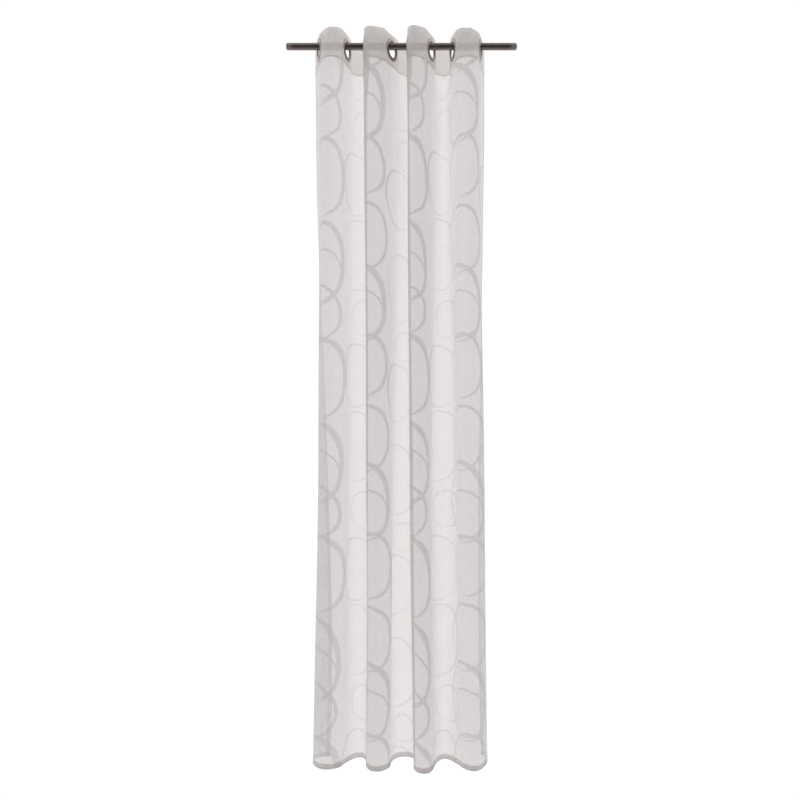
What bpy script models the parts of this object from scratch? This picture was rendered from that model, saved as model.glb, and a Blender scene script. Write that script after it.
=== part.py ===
"""A semi-sheer eyelet curtain hanging in deep folds on its metal rod.

Metres, +Z up. The origin is on the rod's axis, at the middle of its length. +X runs along the rod, the
curtain's front looks along -Y, and the cloth hangs down from the rod along -Z.

Seen from above, the cloth is a wave that crosses the rod's axis once at each eyelet. It is flat where an
eyelet's ring clamps it and bends freely between two rings. Each bend is a Bezier curve whose handles are
lengthened until the bend holds as much cloth as there is between two eyelets, so every height of the
curtain uses the same width of cloth.
"""

import math
from collections import namedtuple

import bmesh
import bpy
import numpy as np

# The cloth, as it is cut and sewn
CLOTH_WIDTH = 1.40
CLOTH_LENGTH = 2.25
CLOTH_THICKNESS = 0.0014
HEADING_HEIGHT = 0.096
HEADING_THICKNESS = 0.0022
HEM_HEIGHT = 0.016
SIDE_HEM_WIDTH = 0.014
HEM_THICKNESS = 0.0026
HEM_STEP = 0.0012

# The eyelets
EYELET_COUNT = 8
EYELET_SPACING = 0.178
RING_HOLE_RADIUS = 0.022
RING_NECK_RADIUS = 0.028
RING_CREST_RADIUS = 0.0265
RING_OUTER_RADIUS = 0.0335
RING_HALF_DEPTH = 0.0032
RING_BARREL_DEPTH = 0.0016
RING_LIP_DEPTH = 0.0006
RING_STEPS = 24
RING_FLAT = 0.034

# The rod
ROD_RADIUS = 0.011
ROD_BORE_RADIUS = 0.0100
ROD_LENGTH = 0.698
ROD_STEPS = 28
CAP_LENGTH = 0.0078
CAP_FACE_RADIUS = 0.0048
CAP_PLUG_LENGTH = 0.012
CAP_STEPS = 4

# Where the pieces meet
CLEARANCE = 0.0003
TOP_EDGE_Z = 0.035
HEADING_FOOT_Z = TOP_EDGE_Z - HEADING_HEIGHT
HEM_EDGE_Z = TOP_EDGE_Z - CLOTH_LENGTH
RING_CENTRE_Z = ROD_RADIUS + CLEARANCE - RING_HOLE_RADIUS
CUT_RADIUS = RING_NECK_RADIUS + CLEARANCE
CUT_DEPTH = 8 * HEADING_THICKNESS
FLAP_WIDTH = (CLOTH_WIDTH - (EYELET_COUNT - 1) * EYELET_SPACING) / 2

# How finely the curved pieces are divided. The panel's bands grow taller towards the hem.
STEPS_PER_FOLD = 12
STEPS_PER_FLAP = 4
PANEL_BANDS = 11
BAND_GROWTH = 1.35
CURVE_SAMPLES = 240
HALVINGS = 36
SHARP_ANGLE = math.radians(35)
MERGE_DISTANCE = 0.00002

# How far below the heading the cloth still keeps the rings' flats
STIFF_DROP = 0.24

# One row for each eyelet, from left to right: how the cloth below it crosses the rod's plane.
# x: millimetres to the right of the rod's middle. run: the direction in which the cloth runs to the right,
# in degrees, -90 straight to the front and 90 straight to the back. out: millimetres in front of the rod's
# plane. Each is given at the heading, halfway down, and at the hem.
Crossing = namedtuple("Crossing", "x_top x_mid x_hem run_top run_mid run_hem out_mid out_hem")
CROSSINGS = (
    Crossing(-255.0, -255.0, -276.0, -76.0, -96.0, -89.0, -8.0, -28.0),
    Crossing(-168.0, -167.0, -180.0, 74.0, 87.0, 68.0, 3.0, 12.0),
    Crossing(-112.0, -107.0, -108.0, -96.0, -98.0, -88.0, 3.0, 14.0),
    Crossing(-30.0, -31.0, -32.0, 62.0, 84.0, 88.0, 0.0, -2.0),
    Crossing(20.0, 28.0, 40.0, -96.0, -103.0, -100.0, 1.0, 4.0),
    Crossing(92.0, 89.0, 100.0, 67.0, 82.0, 82.0, 10.0, 38.0),
    Crossing(158.0, 169.0, 178.0, -79.0, -89.0, -72.0, 5.0, 20.0),
    Crossing(244.0, 252.0, 266.0, 78.0, 92.0, 78.0, -4.0, -16.0),
)
# How the cloth runs at its two side edges, in degrees, at the same three heights
Edge = namedtuple("Edge", "run_top run_mid run_hem")
LEFT_EDGE = Edge(-80.0, -104.0, -188.0)
RIGHT_EDGE = Edge(72.0, 94.0, 118.0)

MM = 0.001

# Colour, roughness and metallic value of each material
Finish = namedtuple("Finish", "colour roughness metallic")
FINISHES = {
    "sheer_cloth": Finish((0.78, 0.76, 0.75, 1.0), 0.9, 0.0),
    "heading_cloth": Finish((0.66, 0.63, 0.61, 1.0), 0.9, 0.0),
    "eyelet_metal": Finish((0.42, 0.38, 0.34, 1.0), 0.3, 1.0),
    "rod_metal": Finish((0.13, 0.12, 0.105, 1.0), 0.35, 1.0),
}


def at_height(top, mid, hem, drop):
    """A value at a share of the drop from heading to hem: it leaves the heading with no slope and passes
    through its middle and hem values, as a cubic."""
    square = 8 * (mid - top) - (hem - top)
    cube = (hem - top) - square
    return top + square * drop**2 + cube * drop**3


def direction_of(degrees):
    """The unit vector, seen from above, of a direction in which the cloth runs."""
    angle = math.radians(degrees)
    return np.array([math.cos(angle), math.sin(angle)])


def bezier(start, start_handle, end_handle, end):
    """Points along a cubic Bezier curve, one for each row."""
    t = np.linspace(0, 1, CURVE_SAMPLES)[:, None]
    return (
        (1 - t) ** 3 * start
        + 3 * t * (1 - t) ** 2 * start_handle
        + 3 * t**2 * (1 - t) * end_handle
        + t**3 * end
    )


def lengths_along(points):
    """The distance along a line of points, from its first one, at each of them."""
    return np.concatenate([[0.0], np.cumsum(np.linalg.norm(np.diff(points, axis=0), axis=1))])


def fold(start, start_run, end, end_run, cloth):
    """The free bend between two points that holds the given length of cloth. Its two handles share one
    length, which is halved in on."""
    shortest, longest = 0.0, 2 * cloth
    for _ in range(HALVINGS):
        handle = (shortest + longest) / 2
        points = bezier(start, start + handle * start_run, end - handle * end_run, end)
        if lengths_along(points)[-1] < cloth:
            shortest = handle
        else:
            longest = handle
    return points


def flap(inner, inner_degrees, edge_degrees, cloth, side):
    """The cloth between the outermost flat and the side edge, whose direction turns evenly. side is -1 at
    the left edge and 1 at the right one. The points run away from the flat."""
    share = (np.arange(CURVE_SAMPLES - 1) + 0.5) / (CURVE_SAMPLES - 1)
    angles = np.radians(inner_degrees + (edge_degrees - inner_degrees) * share)
    steps = side * np.stack([np.cos(angles), np.sin(angles)], axis=1) * cloth / len(share)
    return np.concatenate([[inner], inner + np.cumsum(steps, axis=0)])


def resampled(points, count):
    """The same line with count + 1 evenly spaced points."""
    along = lengths_along(points)
    wanted = np.linspace(0, along[-1], count + 1)
    return np.stack([np.interp(wanted, along, points[:, k]) for k in range(2)], axis=1)


def flat_half_width(z):
    """Half the width of the flat stretch under an eyelet: the ring's own width in the heading, easing to
    almost nothing where the cloth hangs free."""
    below = np.clip((HEADING_FOOT_Z - z) / STIFF_DROP, 0, 1)
    return RING_FLAT * (1 - below) ** 2 * (1 + 2 * below) + CLEARANCE


def crossing_at(row, drop):
    """Where an eyelet's line of cloth is at a share of the drop, and how the cloth runs there."""
    x = at_height(row.x_top, row.x_mid, row.x_hem, drop) * MM
    out = at_height(0.0, row.out_mid, row.out_hem, drop) * MM
    return np.array([x, -out]), at_height(row.run_top, row.run_mid, row.run_hem, drop)


def wave(z):
    """The cloth's middle line seen from above at height z, from its left edge to its right one. Every
    height has the same number of points, at the same places across the cloth."""
    drop = max(0.0, (HEADING_FOOT_Z - z) / (HEADING_FOOT_Z - HEM_EDGE_Z))
    flat = flat_half_width(z)
    crossings = [crossing_at(row, drop) for row in CROSSINGS]
    lefts = [place - flat * direction_of(run) for place, run in crossings]
    rights = [place + flat * direction_of(run) for place, run in crossings]
    edge_runs = [at_height(*edge, drop) for edge in (LEFT_EDGE, RIGHT_EDGE)]

    left_flap = flap(lefts[0], crossings[0][1], edge_runs[0], FLAP_WIDTH - flat, -1)
    line = [flap_columns(left_flap)[::-1]]
    for here, there in zip(range(EYELET_COUNT - 1), range(1, EYELET_COUNT)):
        bend = fold(
            rights[here],
            direction_of(crossings[here][1]),
            lefts[there],
            direction_of(crossings[there][1]),
            EYELET_SPACING - 2 * flat,
        )
        line.append(resampled(bend, STEPS_PER_FOLD))
    right_flap = flap(rights[-1], crossings[-1][1], edge_runs[1], FLAP_WIDTH - flat, 1)
    line.append(flap_columns(right_flap))
    return np.concatenate(line)


def flap_columns(points):
    """A flap's points from the flat outwards, with the last two steps at the side hem's fold."""
    along = lengths_along(points)
    hem_fold = along[-1] - SIDE_HEM_WIDTH
    free = np.linspace(0, hem_fold - HEM_STEP, STEPS_PER_FLAP)
    wanted = np.concatenate([free, [hem_fold, along[-1]]])
    return np.stack([np.interp(wanted, along, points[:, k]) for k in range(2)], axis=1)


def normals_of(line):
    """The unit normals of a line seen from above, pointing to the front at the front folds."""
    run = np.gradient(line, axis=0)
    run /= np.linalg.norm(run, axis=1)[:, None]
    return np.stack([run[:, 1], -run[:, 0]], axis=1)


def add_object(name, mesh):
    """A new object with the given mesh, shaded smooth but for its sharp edges."""
    mesh.shade_smooth()
    mesh.set_sharp_from_angle(angle=SHARP_ANGLE)
    obj = bpy.data.objects.new(name, mesh)
    bpy.context.scene.collection.objects.link(obj)
    return obj


def finish(obj, material_name):
    """Gives an object its material."""
    obj.data.materials.append(bpy.data.materials[material_name])
    return obj


def sheet_solid(name, heights, thickness):
    """A sheet of cloth along the wave. heights run from top to bottom, and thickness has a row for each
    height and a column for each point of the wave."""
    front, back = [], []
    for z, row in zip(heights, thickness):
        line = wave(z)
        offset = normals_of(line) * row[:, None] / 2
        level = np.full((len(line), 1), z)
        front.append(np.hstack([line + offset, level]))
        back.append(np.hstack([line - offset, level]))
    rows, columns = len(heights), len(front[0])
    vertices = np.concatenate(front + back)
    grid = np.arange(2 * rows * columns).reshape(2, rows, columns)
    faces = []
    for side, turn in ((0, 1), (1, -1)):
        for r in range(rows - 1):
            for c in range(columns - 1):
                face = grid[side, r : r + 2, c : c + 2]
                faces.append((face[0, 0], face[1, 0], face[1, 1], face[0, 1])[::turn])
    for r, turn in ((0, 1), (rows - 1, -1)):
        for c in range(columns - 1):
            corners = (grid[0, r, c], grid[0, r, c + 1], grid[1, r, c + 1], grid[1, r, c])
            faces.append(corners[::turn])
    for c, turn in ((0, -1), (columns - 1, 1)):
        for r in range(rows - 1):
            corners = (grid[0, r, c], grid[0, r + 1, c], grid[1, r + 1, c], grid[1, r, c])
            faces.append(corners[::turn])
    mesh = bpy.data.meshes.new(name)
    mesh.from_pydata([tuple(v) for v in vertices], [], [tuple(f) for f in faces])
    return add_object(name, mesh)


def side_hem_share(columns):
    """1 at the points of the two folded side hems, and 0 elsewhere."""
    share = np.zeros(columns)
    share[[0, 1, -2, -1]] = 1
    return share


def build_panel():
    """The sheer cloth below the heading, thicker where it is folded into its side hems and lower hem."""
    top = HEADING_FOOT_Z - CLEARANCE
    hem_fold = HEM_EDGE_Z + HEM_HEIGHT
    share = np.linspace(0, 1, PANEL_BANDS + 1)
    heights = top - (top - hem_fold - HEM_STEP) * share**BAND_GROWTH
    heights = np.concatenate([heights, [hem_fold, HEM_EDGE_Z]])
    columns = len(wave(top))
    hems = np.zeros((len(heights), columns))
    hems[:] = side_hem_share(columns)
    hems[-2:] = 1
    thickness = CLOTH_THICKNESS + (HEM_THICKNESS - CLOTH_THICKNESS) * hems
    return finish(sheet_solid("sheer_panel", heights, thickness), "sheer_cloth")


def ring_rotation(degrees):
    """The rotation that turns a ring's axis from +Z onto the cloth's normal where the cloth runs in the
    given direction."""
    return (math.pi / 2, 0.0, math.radians(degrees))


def build_heading(crossings):
    """The stiffened band along the cloth's top, with a round hole for each eyelet."""
    heights = (TOP_EDGE_Z, HEADING_FOOT_Z)
    columns = len(wave(TOP_EDGE_Z))
    heading = sheet_solid("heading_band", heights, np.full((2, columns), HEADING_THICKNESS))
    for number, (place, run) in enumerate(crossings, 1):
        bpy.ops.mesh.primitive_cylinder_add(
            vertices=RING_STEPS,
            radius=CUT_RADIUS,
            depth=CUT_DEPTH,
            location=(*place, RING_CENTRE_Z),
            rotation=ring_rotation(run),
        )
        cutter = bpy.context.active_object
        cutter.name = f"eyelet_cutter_{number}"
        cutter.hide_render = True
        cutter.display_type = "WIRE"
        hole = heading.modifiers.new(cutter.name, "BOOLEAN")
        hole.operation = "DIFFERENCE"
        hole.solver = "EXACT"
        hole.object = cutter
    return finish(heading, "heading_cloth")


def turned(name, profile, steps, closed):
    """A piece turned about its own Z axis. profile holds (radius, height) pairs. A closed profile stays
    clear of the axis, and an open one starts and ends on it."""
    shape = bmesh.new()
    points = [shape.verts.new((radius, 0.0, height)) for radius, height in profile]
    edges = [shape.edges.new(pair) for pair in zip(points, points[1:])]
    if closed:
        edges.append(shape.edges.new((points[-1], points[0])))
    bmesh.ops.spin(
        shape,
        geom=points + edges,
        cent=(0, 0, 0),
        axis=(0, 0, 1),
        angle=2 * math.pi,
        steps=steps,
        use_merge=True,
    )
    bmesh.ops.remove_doubles(shape, verts=shape.verts, dist=MERGE_DISTANCE)
    bmesh.ops.recalc_face_normals(shape, faces=shape.faces)
    mesh = bpy.data.meshes.new(name)
    shape.to_mesh(mesh)
    shape.free()
    return add_object(name, mesh)


def ring_profile():
    """The ring's section: two sloping flanges joined by a neck, with the heading between them."""
    groove = HEADING_THICKNESS / 2 + CLEARANCE
    shoulder = groove + RING_LIP_DEPTH
    return (
        (RING_CREST_RADIUS, RING_HALF_DEPTH),
        (RING_OUTER_RADIUS, shoulder),
        (RING_OUTER_RADIUS, groove),
        (RING_NECK_RADIUS, groove),
        (RING_NECK_RADIUS, -groove),
        (RING_OUTER_RADIUS, -groove),
        (RING_OUTER_RADIUS, -shoulder),
        (RING_CREST_RADIUS, -RING_HALF_DEPTH),
        (RING_HOLE_RADIUS, -RING_BARREL_DEPTH),
        (RING_HOLE_RADIUS, RING_BARREL_DEPTH),
    )


def build_rings(crossings):
    """An eyelet ring in each hole of the heading, hanging on the rod by the top of its own hole."""
    for number, (place, run) in enumerate(crossings, 1):
        ring = turned(f"eyelet_{number}", ring_profile(), RING_STEPS, closed=True)
        ring.location = (*place, RING_CENTRE_Z)
        ring.rotation_euler = ring_rotation(run)
        finish(ring, "eyelet_metal")


def build_rod():
    """The rod's tube, along X."""
    half = ROD_LENGTH / 2
    profile = (
        (ROD_RADIUS, half),
        (ROD_RADIUS, -half),
        (ROD_BORE_RADIUS, -half),
        (ROD_BORE_RADIUS, half),
    )
    rod = turned("rod_tube", profile, ROD_STEPS, closed=True)
    rod.rotation_euler = (0.0, math.pi / 2, 0.0)
    return finish(rod, "rod_metal")


def build_caps():
    """The rounded caps at the rod's two ends, each with a plug that fits the bore."""
    seat = ROD_LENGTH / 2 + CLEARANCE
    plug_radius = ROD_BORE_RADIUS - CLEARANCE
    reach = CAP_LENGTH - CLEARANCE
    turns = [math.pi / 2 * k / CAP_STEPS for k in range(CAP_STEPS + 1)]
    profile = [(0.0, reach)]
    profile += [
        (CAP_FACE_RADIUS + (ROD_RADIUS - CAP_FACE_RADIUS) * math.sin(a), reach * math.cos(a))
        for a in turns
    ]
    profile += [(plug_radius, 0.0), (plug_radius, -CAP_PLUG_LENGTH), (0.0, -CAP_PLUG_LENGTH)]
    for side, name in ((-1, "end_cap_left"), (1, "end_cap_right")):
        cap = turned(name, profile, ROD_STEPS, closed=False)
        cap.location = (side * seat, 0.0, 0.0)
        cap.rotation_euler = (0.0, side * math.pi / 2, 0.0)
        finish(cap, "rod_metal")


def build_materials():
    """A Principled material for each finish."""
    for name, look in FINISHES.items():
        material = bpy.data.materials.new(name)
        material.use_nodes = True
        shader = material.node_tree.nodes["Principled BSDF"]
        shader.inputs["Base Color"].default_value = look.colour
        shader.inputs["Roughness"].default_value = look.roughness
        shader.inputs["Metallic"].default_value = look.metallic


def main():
    for obj in list(bpy.data.objects):
        bpy.data.objects.remove(obj)
    build_materials()
    crossings = [crossing_at(row, 0.0) for row in CROSSINGS]
    build_panel()
    build_heading(crossings)
    build_rings(crossings)
    build_rod()
    build_caps()


main()
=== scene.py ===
"""A semi-sheer eyelet curtain on its metal rod: the fine surfaces, the finishes and the studio.

Metres, +Z up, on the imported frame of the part. The origin is on the rod's axis, +X runs along the rod and the
curtain's front looks along -Y.

Every piece of cloth is worked out from one surface. Its two parameters are the distance across the flat cloth
from the left side edge, and the height. Seen from above, each height is a wave that crosses the rod's plane
once at each eyelet. The wave is flat where a ring clamps the cloth, and between two rings it is a Bezier
curve whose handles are lengthened until it holds all the cloth between them.
"""

import math
from collections import namedtuple

import bpy
import numpy as np
from bpy.props import FloatProperty, FloatVectorProperty, PointerProperty
from bpy.types import Operator, Panel, PropertyGroup
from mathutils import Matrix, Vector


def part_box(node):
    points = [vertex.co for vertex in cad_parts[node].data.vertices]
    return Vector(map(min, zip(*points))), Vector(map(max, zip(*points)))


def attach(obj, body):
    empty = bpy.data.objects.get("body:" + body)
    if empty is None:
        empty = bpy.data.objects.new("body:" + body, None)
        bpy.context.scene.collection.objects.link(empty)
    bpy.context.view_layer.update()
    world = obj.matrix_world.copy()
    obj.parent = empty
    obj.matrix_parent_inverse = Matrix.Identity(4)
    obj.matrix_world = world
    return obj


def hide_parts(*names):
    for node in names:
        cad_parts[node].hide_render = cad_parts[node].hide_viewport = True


bl_info = {
    "name": "Sheer Eyelet Curtain",
    "version": (1, 0, 0),
    "blender": (4, 5, 0),
    "location": "3D View > Sidebar > Curtain",
    "description": "Dresses the frame of a semi-sheer eyelet curtain on its rod",
    "category": "Add Mesh",
}

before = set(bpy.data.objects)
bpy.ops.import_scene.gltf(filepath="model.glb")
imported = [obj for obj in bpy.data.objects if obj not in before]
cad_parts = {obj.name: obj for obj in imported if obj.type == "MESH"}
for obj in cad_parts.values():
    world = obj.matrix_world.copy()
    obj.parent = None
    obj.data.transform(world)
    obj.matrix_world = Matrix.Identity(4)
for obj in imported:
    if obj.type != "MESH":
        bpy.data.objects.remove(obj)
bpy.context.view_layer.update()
MM = 0.001

# The frame's own heights and radii
HEADING_LOW, HEADING_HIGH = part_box("heading_band")
PANEL_LOW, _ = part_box("sheer_panel")
RING_LOW, RING_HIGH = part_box("eyelet_1")
ROD_LOW, ROD_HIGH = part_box("rod_tube")
CAP_LOW, CAP_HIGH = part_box("end_cap_right")
TOP_EDGE_Z = HEADING_HIGH[2]
HEADING_FOOT_Z = HEADING_LOW[2]
HEM_EDGE_Z = PANEL_LOW[2]
RING_CENTRE_Z = (RING_LOW[2] + RING_HIGH[2]) / 2
RING_OUTER_RADIUS = (RING_HIGH[2] - RING_LOW[2]) / 2
ROD_RADIUS = (ROD_HIGH[2] - ROD_LOW[2]) / 2
ROD_HALF_LENGTH = ROD_HIGH[0]
CAP_END_X = CAP_HIGH[0]

# The cloth as it is cut and sewn
CLOTH_WIDTH = 1.40
EYELET_COUNT = 8
EYELET_SPACING = 0.178
FLAP_WIDTH = (CLOTH_WIDTH - (EYELET_COUNT - 1) * EYELET_SPACING) / 2
RING_FLAT = 0.034
CLEARANCE = 0.0003
STIFF_DROP = 0.24
SIDE_HEM_WIDTH = 0.014
HEM_HEIGHT = 0.016
HEM_TURN = 2.5
# What the lower hem's tucked-in edge adds to the cover of each of its layers
TUCKED_COVER = 0.16
# The cut cloth starts this far in from the corner of its weave
CUT_MARGIN = 0.1

# One row for each eyelet, from left to right: how the cloth below it crosses the rod's plane.
# x: millimetres to the right of the rod's middle. run: the direction in which the cloth runs to the right,
# in degrees, -90 straight to the front and 90 straight to the back. out: millimetres in front of the rod's
# plane. Each is given at the heading, halfway down, and at the hem.
Crossing = namedtuple("Crossing", "x_top x_mid x_hem run_top run_mid run_hem out_mid out_hem")
CROSSINGS = (
    Crossing(-255.0, -255.0, -276.0, -76.0, -96.0, -89.0, -8.0, -28.0),
    Crossing(-168.0, -167.0, -180.0, 74.0, 87.0, 68.0, 3.0, 12.0),
    Crossing(-112.0, -107.0, -108.0, -96.0, -98.0, -88.0, 3.0, 14.0),
    Crossing(-30.0, -31.0, -32.0, 62.0, 84.0, 88.0, 0.0, -2.0),
    Crossing(20.0, 28.0, 40.0, -96.0, -103.0, -100.0, 1.0, 4.0),
    Crossing(92.0, 89.0, 100.0, 67.0, 82.0, 82.0, 10.0, 38.0),
    Crossing(158.0, 169.0, 178.0, -79.0, -89.0, -72.0, 5.0, 20.0),
    Crossing(244.0, 252.0, 266.0, 78.0, 92.0, 78.0, -4.0, -16.0),
)
# How the cloth runs at its two side edges, in degrees, at the same three heights
Edge = namedtuple("Edge", "run_top run_mid run_hem")
LEFT_EDGE = Edge(-80.0, -104.0, -188.0)
RIGHT_EDGE = Edge(72.0, 94.0, 118.0)

# Soft ridges and troughs, placed on the flat cloth, in millimetres. across: from the left side edge.
# below: down from the top edge. reach: half its length. spread: half its width. lean: degrees from upright,
# its foot to the right. height: towards the front, or away from it where it is negative.
Crease = namedtuple("Crease", "across below reach spread lean height")
HEADING_CREASES = (
    Crease(148, 30, 78, 7, 2, 4.0),
    Crease(150, -10, 102, 44, 0, -15.0),
    Crease(176, 20, 80, 20, 0, -4.0),
    Crease(516, -10, 102, 46, 0, -6.0),
    Crease(872, -10, 102, 46, 0, -6.0),
    Crease(132, 22, 26, 6, -42, 2.0),
    Crease(184, 46, 66, 15, 4, -3.0),
    Crease(508, 22, 34, 12, 84, -1.3),
    Crease(540, 58, 40, 14, 76, 1.2),
    Crease(498, 64, 30, 9, -20, -1.2),
    Crease(862, 26, 34, 10, 82, -1.5),
    Crease(884, 52, 30, 13, 96, 1.4),
    Crease(1254, 34, 80, 9, -2, 7.0),
    Crease(1272, 40, 24, 6, 80, -1.6),
    Crease(1218, 30, 72, 18, 2, -4.0),
    Crease(1246, -10, 102, 50, 0, -22.0),
    Crease(564, 20, 90, 15, 0, 4.5),
    Crease(916, 20, 90, 15, 0, 3.5),
    Crease(312, 50, 150, 14, 0, -8.0),
    Crease(376, 50, 150, 13, 0, -7.0),
    Crease(668, 50, 150, 14, 0, -8.0),
    Crease(732, 50, 150, 13, 0, -7.0),
    Crease(1022, 50, 150, 14, 0, -9.0),
    Crease(1090, 50, 150, 14, 0, -9.0),
    Crease(344, 50, 150, 12, 0, 3.0),
    Crease(700, 50, 150, 12, 0, 3.0),
    Crease(1056, 50, 150, 12, 0, 3.5),
)
DRAG_CREASES = (
    Crease(110, 130, 60, 10, 28, -1.8),
    Crease(222, 128, 58, 13, -30, -1.0),
    Crease(290, 124, 50, 9, 34, 1.6),
    Crease(398, 130, 62, 11, -26, -1.5),
    Crease(470, 126, 54, 9, 30, 1.8),
    Crease(578, 132, 60, 14, -32, -1.0),
    Crease(650, 130, 66, 12, 36, -1.2),
    Crease(752, 124, 52, 10, -28, 1.5),
    Crease(824, 134, 60, 9, 32, 1.7),
    Crease(930, 128, 60, 14, -34, -1.0),
    Crease(1004, 126, 56, 10, 26, -1.6),
    Crease(1108, 130, 62, 10, -30, 1.6),
    Crease(1182, 140, 82, 13, 24, -1.5),
    Crease(1290, 128, 52, 10, -24, -1.5),
)
LONG_CREASES = (
    Crease(138, 420, 330, 13, 1, 2.4),
    Crease(190, 700, 420, 17, -1, -1.8),
    Crease(158, 1500, 480, 16, 1, 2.0),
    Crease(346, 820, 560, 22, 0, -1.6),
    Crease(330, 1700, 420, 18, -1, 1.6),
    Crease(505, 640, 430, 15, 1, 2.0),
    Crease(548, 1250, 520, 18, -1, -1.9),
    Crease(516, 1850, 360, 14, 1, 2.2),
    Crease(702, 560, 380, 20, 1, 1.5),
    Crease(716, 1560, 520, 19, -1, -1.7),
    Crease(862, 520, 330, 14, 1, -2.0),
    Crease(892, 1180, 480, 16, -1, 2.1),
    Crease(868, 1800, 380, 14, 1, -1.8),
    Crease(1044, 760, 520, 20, -1, 1.8),
    Crease(1072, 1640, 480, 19, 1, -1.7),
    Crease(1206, 480, 360, 14, 1, 2.2),
    Crease(1262, 1020, 480, 17, -1, -2.0),
    Crease(1222, 1760, 420, 16, 1, 2.2),
    Crease(1372, 1100, 700, 13, 0, 1.4),
    Crease(30, 1300, 800, 14, 0, 1.3),
)
# Upright creases over nearly the whole drop, which flatten the middles of the folds and square their corners:
# across, spread and height
FOLD_CREASES = tuple(
    Crease(across, 1120, 1040, spread, 0, height)
    for across, spread, height in (
        (160, 24, -2.5),
        (207, 17, 1.2),
        (305, 17, -2.5),
        (344, 24, 2.5),
        (384, 15, -2.0),
        (484, 15, 0.8),
        (516, 24, -2.0),
        (662, 17, -2.0),
        (700, 24, 2.5),
        (740, 15, -2.0),
        (842, 15, 0.8),
        (876, 24, -2.5),
        (919, 17, 1.2),
        (1017, 17, -2.5),
        (1056, 24, 2.5),
        (1095, 15, -2.0),
        (1197, 16, 2.5),
        (1232, 24, -2.5),
    )
)

# Slow waves over the whole cloth. wide and tall: the length of a wave across and down the cloth, in metres.
# height: in millimetres. start: in degrees.
Ripple = namedtuple("Ripple", "wide tall height start")
RIPPLES = (
    Ripple(0.111, 1.93, 0.55, 20),
    Ripple(0.067, -1.31, 0.35, 140),
    Ripple(0.213, 0.87, 0.70, 260),
    Ripple(0.043, 2.70, 0.18, 75),
)

# The woven ovals of one repeat, in millimetres. across and down: the middle of the oval. wide and tall: half
# its outer size. side and end: how broad its band is at its two sides, and at its top and foot. drift and
# sink: how far the inner edge lies to the left and down, which makes the right side and the top broader.
# lean: degrees.
Oval = namedtuple("Oval", "across down wide tall side end drift sink lean")
REPEAT_WIDE = 0.712
REPEAT_TALL = 0.605
OVALS = (
    Oval(222, 112, 100, 128, 13, 7, 7, 4, 4),
    Oval(214, 262, 94, 84, 9, 5, 5, 2, -9),
    Oval(230, 458, 104, 122, 14, 7, 8, 4, 6),
    Oval(216, 152, 92, 80, 5, 5, 2, 1, 0),
    Oval(580, 40, 98, 104, 10, 6, 5, 3, -7),
    Oval(574, 232, 100, 122, 14, 7, 8, 4, 8),
    Oval(586, 424, 96, 98, 12, 6, 7, 3, -4),
    Oval(570, 268, 90, 74, 5, 5, 2, 1, 0),
    Oval(432, 62, 86, 112, 6, 4, 3, 1, -3),
    Oval(462, 262, 56, 60, 6, 4, 2, 1, 4),
    Oval(420, 446, 90, 100, 7, 5, -3, 1, 3),
    Oval(58, 170, 82, 108, 6, 4, 3, 1, 3),
    Oval(88, 350, 46, 48, 6, 4, 2, 1, 0),
    Oval(46, 500, 86, 96, 7, 5, -3, 1, -3),
)

# How finely the surfaces are divided
COLUMNS = 378
ROWS = 224
CURVE_SAMPLES = 200
HALVINGS = 30
SLOPE_STEP = 0.0008
# The metres of cut cloth that one unit of its UV map stands for
SPAN = 2.4
# How much further down the weave the heading's cloth is cut, so that its map stays above zero
HEADING_CUT_DROP = 0.2


class CURTAIN_PG_cloth(PropertyGroup):
    """The cloth's sizes and colours."""

    layer_gap: FloatProperty(
        name="Layer gap",
        description="How far apart the layers of the folded side hems lie",
        default=0.0004,
        unit="LENGTH",
    )
    hem_layer_gap: FloatProperty(
        name="Hem layer gap",
        description="How far apart the layers of the lower hem lie",
        default=0.0011,
        unit="LENGTH",
    )
    heading_half_thickness: FloatProperty(
        name="Heading half thickness",
        description="From the middle of the heading band to each of its faces",
        default=0.0009,
        unit="LENGTH",
    )
    stitch_pitch: FloatProperty(
        name="Stitch pitch",
        description="From one stitch to the next along a seam",
        default=0.0034,
        unit="LENGTH",
    )
    thread_radius: FloatProperty(
        name="Thread radius",
        description="Half the thickness of the sewing thread",
        default=0.00026,
        unit="LENGTH",
    )
    open_weave_cover: FloatProperty(
        name="Open weave cover",
        description="The share of the open weave that its yarns cover",
        default=0.72,
        subtype="FACTOR",
        min=0.0,
        max=1.0,
    )
    band_cover: FloatProperty(
        name="Band cover",
        description="The share of the dense woven bands that their yarns cover",
        default=0.87,
        subtype="FACTOR",
        min=0.0,
        max=1.0,
    )
    heading_cover: FloatProperty(
        name="Heading cover",
        description="The share that the yarns of each face of the stiffened heading cover",
        default=0.68,
        subtype="FACTOR",
        min=0.0,
        max=1.0,
    )
    yarn_colour: FloatVectorProperty(
        name="Yarn colour",
        description="The off-white of the voile's yarn",
        default=(0.846, 0.814, 0.812),
        subtype="COLOR",
    )
    band_colour: FloatVectorProperty(
        name="Band colour",
        description="The yarn of the dense woven bands",
        default=(0.780, 0.746, 0.742),
        subtype="COLOR",
    )
    heading_colour: FloatVectorProperty(
        name="Heading colour",
        description="The cloth over the stiffening tape",
        default=(0.890, 0.860, 0.850),
        subtype="COLOR",
    )
    thread_colour: FloatVectorProperty(
        name="Thread colour",
        description="The sewing thread",
        default=(0.76, 0.73, 0.72),
        subtype="COLOR",
    )


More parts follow.
